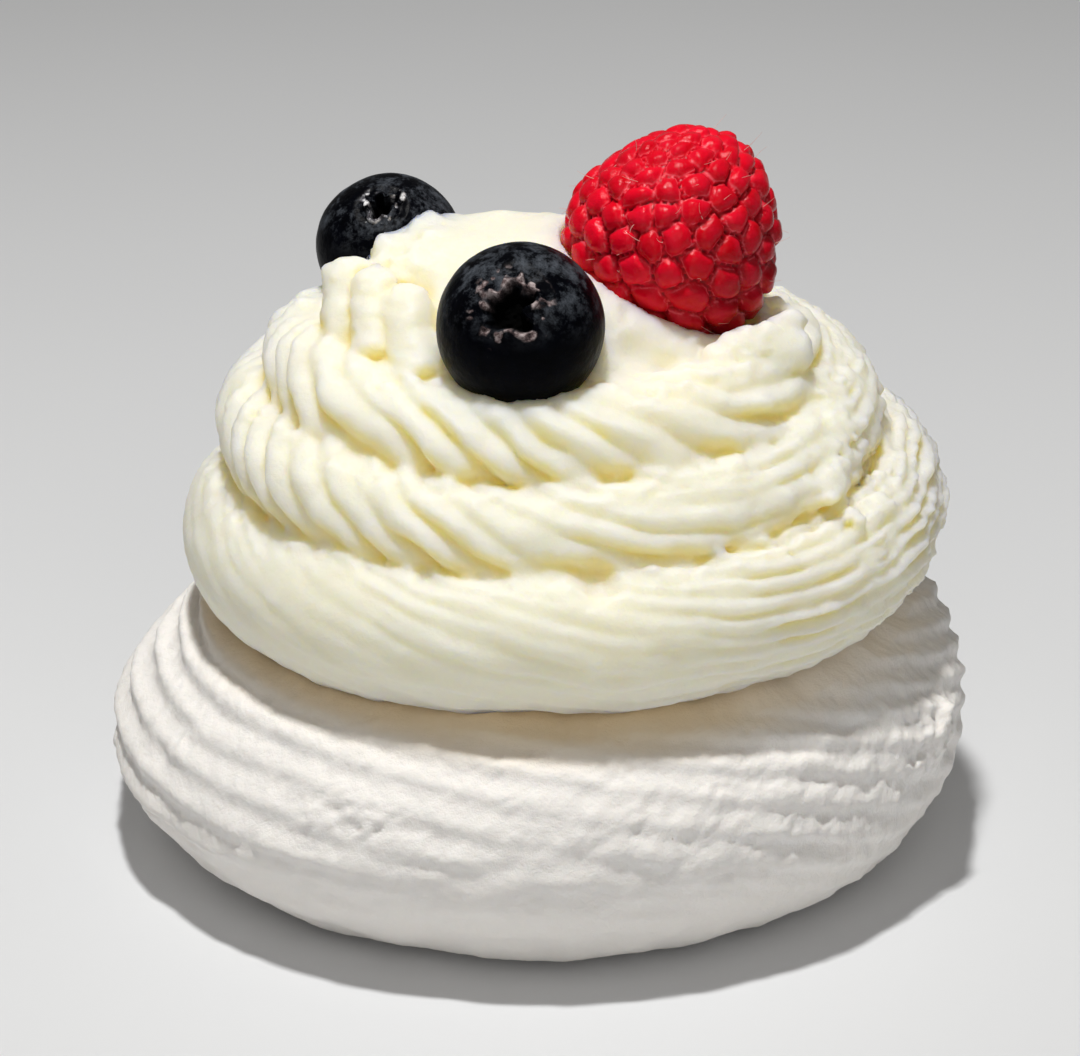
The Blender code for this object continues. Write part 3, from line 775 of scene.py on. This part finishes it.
def rope_samples():
    """Rope rows along its whole length, with the flutes' turn added up."""
    last = len(ROPE) - 1
    places = np.linspace(0.0, last, ROPE_SAMPLES)
    path = smooth_rows(ROPE, places)
    angle = ROPE_START + places * TURN / 8.0
    marks = np.array(FLUTES)
    flutes = np.stack([np.interp(places, marks[:, 0], marks[:, i]) for i in range(1, 5)], -1)
    rate = flutes[:, 0] * flutes[:, 2] * path[:, 0] / path[:, 2]
    turn = np.concatenate([[0.0], np.cumsum(0.5 * (rate[1:] + rate[:-1]) * np.diff(angle))])
    for away in (angle - angle[0], angle[-1] - angle):
        path[:, 2] *= np.sqrt(np.clip(away / ROPE_END_TAPER, 0.02, 1.0))
    return angle, np.concatenate([path, flutes, turn[:, None]], 1)


SAMPLE_ANGLE, SAMPLE_ROWS = rope_samples()


def cream_shift(height):
    """Sideways shift of the cream's axis at this height."""
    return SHIFT_LOW + (SHIFT_HIGH - SHIFT_LOW) * blend(SHIFT_START, SHIFT_END, height)


def berry_matrix(centre, facing):
    """Placement of a berry whose axis points to a bearing and a rise, in degrees."""
    bearing = math.radians(270.0 + facing[0])
    rise = math.radians(facing[1])
    axis = Vector((math.cos(rise) * math.cos(bearing), math.cos(rise) * math.sin(bearing), math.sin(rise)))
    return Matrix.Translation(Vector(centre)) @ axis.to_track_quat("Z", "Y").to_matrix().to_4x4()


def place_berry(points, centre, facing):
    """Points of a berry, moved from its own axis to its place on the cream."""
    matrix = np.array(berry_matrix(centre, facing))
    return np.asarray(points) @ matrix[:3, :3].T + matrix[:3, 3]


def berry_field(points, centre, facing, radius, half):
    """Distance outside an ellipsoid berry, negative inside."""
    turn = np.array(berry_matrix(centre, facing).to_3x3())
    local = (points - centre) @ turn
    size = np.array([radius, radius, half])
    scaled = np.linalg.norm(local / size, axis=1)
    steep = np.linalg.norm(local / size ** 2, axis=1)
    return scaled * (scaled - 1.0) / np.maximum(steep, 1e-6)


def capsule_field(points, start, end, radius):
    """Distance outside a round-ended rod."""
    start = np.asarray(start)
    way = np.asarray(end) - start
    part = np.clip((points - start) @ way / (way @ way), 0.0, 1.0)
    return np.linalg.norm(points - start - part[:, None] * way, axis=1) - radius


def raspberry_bend(points):
    """Sideways bend of the raspberry: its top and foot lie right of its middle."""
    level = (points[:, 2] - RASPBERRY[2]) * math.cos(CAMERA_RISE)
    level = level + (points[:, 1] - RASPBERRY[1]) * math.sin(CAMERA_RISE)
    return RASPBERRY_BEND * level ** 2


def rope_field(points, fine):
    """Field of the piped rope, its roughness, and how near a point is to a crease between turns."""
    x, y, z = points.T
    across = x - cream_shift(z)
    out = np.hypot(across, y)
    angle = np.mod(np.arctan2(y, across) - ROPE_START, TURN) + ROPE_START
    wander = 1.6 * noise(points, 6.0, 21) + noise(points, 3.0, 22) if fine else 0.0
    lively = np.clip(1.0 + 0.9 * noise(points, 4.5, 23), 0.25, 1.6) if fine else 1.0
    swell = 0.28 * noise(points, 8.0, 24) if fine else 0.0
    field = second = nearest = np.full(len(points), CREAM_FAR)
    rough = np.zeros(len(points))
    shares = np.zeros(len(points))
    for turn in range(ROPE_TURNS):
        place = angle + TURN * turn
        row = [np.interp(place, SAMPLE_ANGLE, column) for column in SAMPLE_ROWS.T]
        centre, height, thick, teeth, cut, _, ragged, turned = row
        off_out = out - centre
        off_up = z - height
        side = np.arctan2(off_up, off_out)
        phase = teeth * side + turned + wander
        under = blend(FADE_LOW, FADE_HIGH, side) * (1.0 - 0.55 * blend(0.45, 1.15, side))
        if turn in (0, ROPE_TURNS - 1):
            under = 0.4 + 0.6 * under
        depth = cut * lively * under
        surface = thick + swell + depth * (ridge(skewed(phase, FLUTE_SKEW)) - 0.3)
        if fine:
            streak = np.stack([phase * 0.55, place * centre / 4.5, np.full(len(points), 7.3 * turn)], -1)
            surface += (0.07 + 1.3 * ragged) * noise(streak, 1.0, 29)
            ragged = ragged + 0.20 * blend(0.6, 1.1, side) * (1.0 - blend(1.9, 2.3, side))
        rope = np.hypot(off_out, off_up) - surface
        share = np.exp(-np.clip(rope, -8.0, 8.0) / ROUGH_MIX)
        rough += share * ragged
        shares += share
        second = np.minimum(second, np.maximum(nearest, rope))
        nearest = np.minimum(nearest, rope)
        field = soft_min(field, rope, TURN_BLEND)
    crease = np.exp(-((second - nearest) / CREASE_WIDTH) ** 2) * (1.0 - blend(38.0, 41.0, z))
    deep = blend(0.89, 0.985, np.cos(angle - CREASE_DEEPEST)) * (1.0 - blend(35.5, 38.0, z))
    field += crease * (CREASE_DEPTH + CREASE_MORE * deep)
    return field, rough / shares, crease


def join_masses(points, field):
    """The rope's field joined with the core, the cap, the saddle, the fingers and the wisps."""
    for *centre, radius in CORE:
        ball = np.linalg.norm(points - centre, axis=1) - radius
        field = soft_min(field, ball, CORE_BLEND)
    cap = np.abs((points - CAP_CENTRE) / CAP_SIZE) ** CAP_POWER
    field = soft_min(field, (cap.sum(1) ** (1.0 / CAP_POWER) - 1.0) * min(CAP_SIZE), CAP_BLEND)
    for rods, width in ((SADDLE, SADDLE_BLEND), (FINGERS, FINGER_BLEND), (WISPS, WISP_BLEND)):
        for rod in rods:
            field = soft_min(field, capsule_field(points, *rod), width)
    return field


def roughen(points, field, rough, crease):
    """Field with the torn patch, the rough flutes, small lumps and dabs added."""
    x, y, z = points.T
    torn = np.exp(-(np.linalg.norm((points - TORN_PLACE) / TORN_SIZE, axis=1)) ** 4)
    rough = rough + 0.12 * torn + 0.11 * crease
    scraps = 2.1 * np.maximum(noise(points, 2.0, 30), -0.2)
    scraps += 0.9 * np.maximum(noise(points, 0.9, 31), -0.2)
    field -= torn * scraps
    field -= rough * (noise(points * (1.0, 1.0, 1.6), 1.0, 25) + 0.9 * noise(points, 2.0, 26))
    lumpy = 0.5 + 0.5 * blend(30.0, 35.0, z) - 0.7 * blend(42.0, 45.0, z)
    lumpy += 1.6 * blend(42.0, 45.0, z) * (1.0 - blend(-9.0, -5.0, x)) * blend(-3.0, 0.0, y)
    field -= lumpy * (0.09 * noise(points, 0.9, 27) + 0.20 * noise(points, 2.2, 28))
    for spot, reach, amount in DABS:
        field -= amount * np.exp(-((points - spot) ** 2).sum(1) / reach ** 2)
    return field


def leave_room(points, field):
    """Field with room cut out of it for the berries and the meringue."""
    for berry in (FRONT_BERRY, BACK_BERRY):
        field = np.maximum(field, BERRY_GAP - berry_field(points, *berry))
    straight = points.copy()
    straight[:, 0] -= raspberry_bend(points)
    side = berry_field(straight, RASPBERRY, RASPBERRY_FACING, RASPBERRY_RADIUS, RASPBERRY_HALF)
    field = np.maximum(field, RASPBERRY_GAP - side)
    floor = crown_height(np.hypot(points[:, 0] - LEAN, points[:, 1])) + CREAM_GAP
    return np.maximum(field, floor - points[:, 2])


def cream_field(points, fine=True):
    """Signed field of the whole swirl, in millimetres, with or without its fine detail."""
    field, rough, crease = rope_field(points, fine)
    field = join_masses(points, field)
    if fine:
        field = roughen(points, field, rough, crease)
    return leave_room(points, field)


def sample_cream():
    """Cream field on a grid, worked out in full only near the surface."""
    low = np.array(CREAM_LOW)
    blocks = np.ceil((np.array(CREAM_HIGH) - low) / (CREAM_BLOCK * CREAM_STEP)).astype(int)
    middle = 0.5 * (CREAM_BLOCK - 1)
    axes = [low[i] + CREAM_STEP * (CREAM_BLOCK * np.arange(blocks[i]) + middle) for i in range(3)]
    coarse = np.stack(np.meshgrid(*axes, indexing="ij"), -1).reshape(-1, 3)
    field = cream_field(coarse, False).reshape(tuple(blocks))
    for axis in range(3):
        field = field.repeat(CREAM_BLOCK, axis)
    near = np.argwhere(np.abs(field) < CREAM_NEAR)
    field[tuple(near.T)] = cream_field(low + CREAM_STEP * near)
    return field


def field_gradient(points):
    """Gradient of the cream field by small differences."""
    parts = []
    for axis in range(3):
        offset = np.zeros(3)
        offset[axis] = SLOPE_STEP
        parts.append((cream_field(points + offset) - cream_field(points - offset)) / (2.0 * SLOPE_STEP))
    return np.stack(parts, -1)


def make_cream(material):
    """Piped swirl, with how deep each point lies in a groove kept for its colour."""
    points, faces = surface_net(sample_cream(), CREAM_LOW, CREAM_STEP)
    normal = field_gradient(points)
    length = np.maximum(np.linalg.norm(normal, axis=1), LEAST_SLOPE)
    move = np.clip(-cream_field(points) / length, -MOST_MOVE, MOST_MOVE)
    normal /= length[:, None]
    points = points + normal * move[:, None]
    piece = add_mesh("cream_swirl", points, faces.tolist(), material, "whipped_cream")
    # Masks for the painted yellow glow in the grooves and hollows; the hollows' glow is weaker where the
    # surface faces up.
    near = np.clip(1.0 - cream_field(points + GROOVE_REACH * normal) / GROOVE_REACH, 0.0, 1.0)
    far = np.clip(1.0 - cream_field(points + HOLLOW_REACH * normal) / HOLLOW_REACH, 0.0, 1.0)
    far *= 1.0 - 0.85 * blend(0.05, 0.50, normal[:, 2])
    add_attribute(piece, "groove", spread(near, faces, 2))
    add_attribute(piece, "hollow", spread(far, faces, 10))
    thin_out(piece, CREAM_KEEP)


# -------- berries

def make_blueberry(name, cad_node, berry, seed, crown, material):
    """Flattened berry with a torn star of a crown round a dark hollow."""
    centre, facing, radius, half = berry
    turned = np.concatenate([np.linspace(math.pi, CROWN_ZONE, BERRY_ROWS - CROWN_ROWS),
                             np.linspace(CROWN_ZONE, 0.0, CROWN_ROWS + 1)[1:]])[1:-1]
    angle = np.linspace(0.0, TURN, BERRY_AROUND, endpoint=False)
    turns, angles = (grid.ravel() for grid in np.meshgrid(turned, angle, indexing="ij"))
    out = radius * np.sin(turns)
    local = np.stack([out * np.cos(angles), out * np.sin(angles), half * np.cos(turns)], -1)
    local = np.concatenate([local, [[0.0, 0.0, -half], [0.0, 0.0, half]]])
    angles = np.concatenate([angles, [0.0, 0.0]])
    flat = np.hypot(local[:, 0], local[:, 1])
    flat = np.where(local[:, 2] > 0.0, flat, 2.0 * radius) / crown
    rng = np.random.default_rng(seed)
    lengths = rng.uniform(0.55, 1.25, SEPALS)
    sector = (angles / TURN * SEPALS + rng.uniform(0.0, 1.0)) % SEPALS
    star = np.abs(np.sin(math.pi * sector)) ** 1.5 * lengths[sector.astype(int) % SEPALS]
    warped = flat + 0.75 * noise(local, 1.5, seed + 1) + 0.35 * noise(local, 0.6, seed + 2)
    hole_edge = CROWN_HOLE * (0.80 + 0.40 * star)
    hole = 1.0 - blend(hole_edge - 0.35, hole_edge + 0.15, warped)
    sepal_edge = CROWN_REACH * (0.62 + 0.42 * star)
    sepal = (1.0 - blend(sepal_edge - 0.3, sepal_edge + 0.1, warped)) * (1.0 - hole)
    near = 1.0 - blend(CROWN_REACH * 0.9, CROWN_REACH * 1.35, flat)
    ragged = noise(local, 0.7, seed + 3) + 0.6 * noise(local, 0.34, seed + 4)
    push = 0.10 * noise(local, 4.0, seed + 5) + 0.03 * noise(local, 1.4, seed + 6)
    push += 0.012 * noise(local, 0.5, seed + 7)
    push += near * 0.10 * noise(local, 0.6, seed + 8)
    push += sepal * (0.16 + 0.30 * ragged) - hole * (1.5 + 0.2 * ragged)
    push -= 0.25 * near
    normal = local / (radius * radius, radius * radius, half * half)
    normal /= np.linalg.norm(normal, axis=1)[:, None]
    shaped = local + normal * push[:, None]
    points = place_berry(shaped, centre, facing)
    faces = grid_faces(len(turned), BERRY_AROUND)
    piece = add_mesh(name, points, faces, material, cad_node)
    patch = blend(-0.10, 0.25, noise(local, 1.1, seed + 9) + 0.6 * noise(local, 0.5, seed + 10))
    loose = (1.0 - blend(CROWN_REACH, CROWN_REACH * 1.25, flat)) * blend(0.45, 0.62, ragged)
    scrap = np.clip(sepal * patch + loose * (1.0 - hole), 0.0, 1.0)
    # Painted sheen: no bloom below the berry's middle, full bloom near its top.
    bloom_and_top_sheen = blend(0.0, 0.65, (points[:, 2] - centre[2]) / radius) * (1.0 - hole)
    add_attribute(piece, "scrap", scrap)
    add_attribute(piece, "hollow", hole)
    add_attribute(piece, "bloom_and_top_sheen", bloom_and_top_sheen)


def drupelet_places():
    """Centre, outward way and size of each drupelet, from the tip down, before the berry is bent."""
    rng = np.random.default_rng(41)
    wide = RASPBERRY_RADIUS
    tall = RASPBERRY_HALF
    places = []
    turned = 0.0
    row = 0
    while turned < DRUPELET_LOWEST:
        size = 1.0 - DRUPELET_SHRINK * (1.0 - min(turned / DRUPELET_FULL, 1.0))
        out = wide * math.sin(turned)
        count = max(round(TURN * out / (DRUPELET_PITCH * size)), 3) if row else 1
        offset = rng.uniform(0.0, 1.0)
        for step in range(count):
            angle = TURN * (step + offset + rng.uniform(-0.16, 0.16)) / count
            tilt = turned + (rng.uniform(-0.045, 0.045) if row else 0.0)
            reach = wide * math.sin(tilt)
            spot = Vector((reach * math.cos(angle), reach * math.sin(angle), tall * math.cos(tilt)))
            way = Vector((spot.x / wide ** 2, spot.y / wide ** 2, spot.z / tall ** 2)).normalized()
            places.append((spot, way, size * rng.uniform(0.92, 1.10)))
        turned += DRUPELET_ROW * DRUPELET_PITCH * size / wide
        row += 1
    return places


def unit_ball(detail):
    """Points and faces of a round ball of radius 1."""
    work = bmesh.new()
    bmesh.ops.create_icosphere(work, subdivisions=detail, radius=1.0)
    points = np.array([vert.co[:] for vert in work.verts])
    faces = np.array([[vert.index for vert in face.verts] for face in work.faces])
    work.free()
    return points, faces


def bend_raspberry(points):
    """Berry points at their place on the cream, with the berry's bend."""
    points = place_berry(points, RASPBERRY, RASPBERRY_FACING)
    points[:, 0] += raspberry_bend(points)
    return points


def nearest_two(points, centres, sizes):
    """For each point: its nearest drupelet, the gap to the crease, and its distance from the middle."""
    first = second = np.full(len(points), np.inf)
    owner = np.zeros(len(points), int)
    for index, (centre, size) in enumerate(zip(centres, sizes)):
        away = np.linalg.norm(points - centre, axis=1) / size
        closer = away < first
        second = np.where(closer, first, np.minimum(second, away))
        owner = np.where(closer, index, owner)
        first = np.where(closer, away, first)
    return owner, second - first, first


def make_raspberry(material):
    """Pillow-like drupelets packed tight, with narrow creases between them."""
    places = drupelet_places()
    centres = np.array([spot[:] for spot, _, _ in places])
    sizes = np.array([size for _, _, size in places])
    ways = np.array([way[:] for _, way, _ in places])
    ball, faces = unit_ball(6)
    base = ball * (RASPBERRY_RADIUS, RASPBERRY_RADIUS, RASPBERRY_HALF)
    wobble = np.stack([noise(base, 1.6, 43 + i) for i in range(3)], -1)
    owner, gap, away = nearest_two(base + 0.22 * wobble, centres, sizes)
    part = np.clip(gap / 1.9, 0.0, 1.0)
    dome = np.sqrt(1.0 - (1.0 - part) ** 2)
    dome *= 0.50 + 0.50 * np.sqrt(np.clip(1.0 - (away / (0.66 * DRUPELET_PITCH)) ** 2, 0.0, 1.0))
    size = sizes[owner]
    normal = ball / (RASPBERRY_RADIUS, RASPBERRY_RADIUS, RASPBERRY_HALF)
    normal /= np.linalg.norm(normal, axis=1)[:, None]
    rng = np.random.default_rng(53)
    tall = rng.uniform(0.85, 1.12, len(places))[owner]
    push = DRUPELET_DEPTH * size * (dome * tall - 1.0)
    push += 0.09 * noise(base, 0.9, 48) + 0.035 * noise(base, 0.4, 49)
    crease = np.exp(-((gap - 0.30) / 0.14) ** 2)
    push += 0.05 * crease * noise(base, 0.5, 50)
    points = base + normal * push[:, None]
    points += 0.25 * (1.0 - part)[:, None] * (ways[owner] - normal)
    points = bend_raspberry(points)
    piece = add_mesh("raspberry_drupelets", points, faces.tolist(), material, "raspberry")
    add_attribute(piece, "edge", gap)
    turned = np.array(berry_matrix(RASPBERRY, RASPBERRY_FACING).to_3x3())
    # Painted shade: drupelets on the lower right side are painted darker.
    shaded_side = blend(0.05, 0.85, normal @ (turned.T @ SHADED_SIDE_WAY))
    tone = 0.45 + 0.55 * rng.uniform(0.0, 1.0, len(places))[owner]
    add_attribute(piece, "tone", tone * (1.0 - 0.95 * shaded_side))


def make_hairs(material):
    """Dried pale hairs that curl over the drupelets from the creases."""
    rng = np.random.default_rng(47)
    points = []
    faces = []
    for spot, way, size in drupelet_places():
        if rng.random() > HAIR_SHARE:
            continue
        side = Vector(rng.normal(size=3))
        side = (side - way * side.dot(way)).normalized()
        curl = Vector(rng.normal(size=3)).normalized()
        root = spot - way * 0.35 + side * 1.25 * size
        length = rng.uniform(0.8, 1.8)
        upright = rng.uniform(0.1, 0.7)
        heading = (way * upright + side * rng.uniform(-0.9, 0.5)).normalized()
        first = len(points)
        for step in range(HAIR_STEPS + 1):
            part = step / HAIR_STEPS
            centre = root + heading * length * part + curl * 0.5 * part * part
            wide = HAIR_RADIUS * (1.0 - 0.7 * part)
            for corner in range(HAIR_SIDES):
                turned = TURN * corner / HAIR_SIDES
                across = side * math.cos(turned) + way.cross(side) * math.sin(turned)
                points.append((centre + across * wide)[:])
        for step in range(HAIR_STEPS):
            for corner in range(HAIR_SIDES):
                a = first + step * HAIR_SIDES + corner
                b = first + step * HAIR_SIDES + (corner + 1) % HAIR_SIDES
                faces.append([a, b, b + HAIR_SIDES, a + HAIR_SIDES])
    add_mesh("raspberry_hairs", bend_raspberry(points), faces, material, None)


# -------- stage

def make_floor():
    """Wide pale floor, which isn't part of the object."""
    mesh = bpy.data.meshes.new("floor")
    corners = [(x * FLOOR_REACH, y * FLOOR_REACH, 0) for x, y in ((-1, -1), (1, -1), (1, 1), (-1, 1))]
    mesh.from_pydata(corners, [], [(0, 1, 2, 3)])
    mesh.materials.append(floor_material())
    add_object("floor", mesh)


def make_camera():
    """Camera at the viewing angle: above the object's front, without roll."""
    data = bpy.data.cameras.new("camera")
    data.sensor_width = SENSOR_WIDTH
    data.lens = CAMERA_LENS
    data.shift_x = CAMERA_SHIFT_RIGHT
    data.shift_y = CAMERA_SHIFT_UP
    data.clip_start = CAMERA_CLIP
    camera = add_object("camera", data)
    away = Vector((0.0, -math.cos(CAMERA_RISE), math.sin(CAMERA_RISE)))
    aim = Vector((0.0, 0.0, CAMERA_AIM))
    camera.location = (aim + away * CAMERA_DISTANCE) * MM
    camera.rotation_euler = (-away).to_track_quat("-Z", "Y").to_euler()
    bpy.context.scene.camera = camera


def add_light(name, way, distance, size, power, colour):
    """Soft square light that faces the object."""
    data = bpy.data.lights.new(name, "AREA")
    data.shape = "SQUARE"
    data.size = size
    data.energy = power
    data.color = colour
    light = add_object(name, data)
    way = Vector(way).normalized()
    light.location = way * distance + Vector((0.0, 0.0, LIGHT_AIM))
    light.rotation_euler = way.to_track_quat("Z", "Y").to_euler()


def make_lights():
    """Plain soft studio light: a high key, a soft front fill and an even surround."""
    add_light("key", way=(-0.07, -0.09, 1.0), distance=0.45, size=0.035, power=1.80,
              colour=(1.0, 0.985, 0.955))
    add_light("fill", way=(0.1, -1.0, 0.6), distance=0.9, size=0.7, power=1.38,
              colour=(1.0, 0.98, 0.95))
    world = bpy.data.worlds.new("studio")
    bpy.context.scene.world = world
    world.use_nodes = True
    back = world.node_tree.nodes["Background"]
    fill_in(back, {"Color": (1.0, 0.96, 0.90, 1.0), "Strength": 0.13})
    bpy.context.scene.view_settings.view_transform = "Standard"


def main():
    """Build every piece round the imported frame."""
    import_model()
    make_camera()
    make_lights()
    make_floor()
    make_meringue(meringue_material())
    make_cream(cream_material())
    make_raspberry(raspberry_material())
    make_hairs(hair_material())
    dry_skin = blueberry_material("blueberry_skin", (0.14, 0.10, 0.10), (0.46, 0.39, 0.39))
    # Painted highlight: the far berry's pale crown scraps are near-white painted glints.
    glint_skin = blueberry_material("blueberry_skin_painted_glints", (0.12, 0.12, 0.14), (0.80, 0.80, 0.82))
    make_blueberry("blueberry_crown_side", "blueberry_front", FRONT_BERRY, 51, 1.0, dry_skin)
    make_blueberry("blueberry_far_side", "blueberry_back", BACK_BERRY, 61, 0.62, glint_skin)


main()
